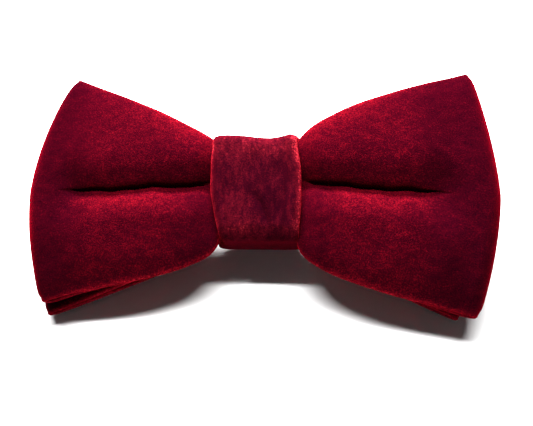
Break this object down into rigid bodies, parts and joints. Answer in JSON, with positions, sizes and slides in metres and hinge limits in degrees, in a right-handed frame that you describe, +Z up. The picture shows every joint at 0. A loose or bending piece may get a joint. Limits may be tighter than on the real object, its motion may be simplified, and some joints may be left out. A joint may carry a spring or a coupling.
{
  "type": "bow tie",
  "caption": "Pre-tied velvet bow tie with doubled flared loops, a wrapped knot band and a sprung collar clip behind, lying on its back.",
  "frame": {"origin": "centre of the overall box, on the surface the bow tie lies on", "axes": "+X along the bow's width, +Y from its lower edge to its upper edge, +Z up out of its face; at rest the face leans 16 degrees towards -Y"},
  "size_m": [0.12, 0.063, 0.0286],
  "materials": {
    "velvet": "deep wine-red cotton velvet with a short dense pile",
    "interlining": "dark red woven interlining",
    "wadding": "undyed soft cotton wadding",
    "thread": "wine-red twisted sewing thread",
    "plated_steel": "bright nickel-plated pressed steel",
    "spring_steel": "plain drawn spring wire"
  },
  "bodies": {
    "bow": {"front_loop_velvet": "velvet", "back_loop_velvet": "velvet", "knot_velvet": "velvet", "front_loop_interlining": "interlining", "back_loop_interlining": "interlining", "knot_interlining": "interlining", "knot_wadding": "wadding", "waist_thread": "thread", "front_loop_stitches": "thread", "back_loop_stitches": "thread", "knot_stitches": "thread", "clip_bar": "plated_steel", "left_pivot_pin": "plated_steel", "right_pivot_pin": "plated_steel", "left_spring": "spring_steel", "right_spring": "spring_steel"},
    "left_clip_lever": {"left_lever": "plated_steel"},
    "right_clip_lever": {"right_lever": "plated_steel"}
  },
  "joints": [
    {"name": "left_lever_hinge", "type": "hinge", "parent": "bow", "child": "left_clip_lever", "pos_m": [-0.02, 0.00536, 0.00697], "axis": [0, -0.9613, -0.2756], "range_deg": [0, 25], "stiffness_Nm_per_rad": 0.03, "springref_deg": -34.38, "deforming": ["left_spring"]},
    {"name": "right_lever_hinge", "type": "hinge", "parent": "bow", "child": "right_clip_lever", "pos_m": [0.02, 0.00536, 0.00697], "axis": [0, 0.9613, 0.2756], "range_deg": [0, 25], "stiffness_Nm_per_rad": 0.03, "springref_deg": -34.38, "deforming": ["right_spring"]}
  ]
}
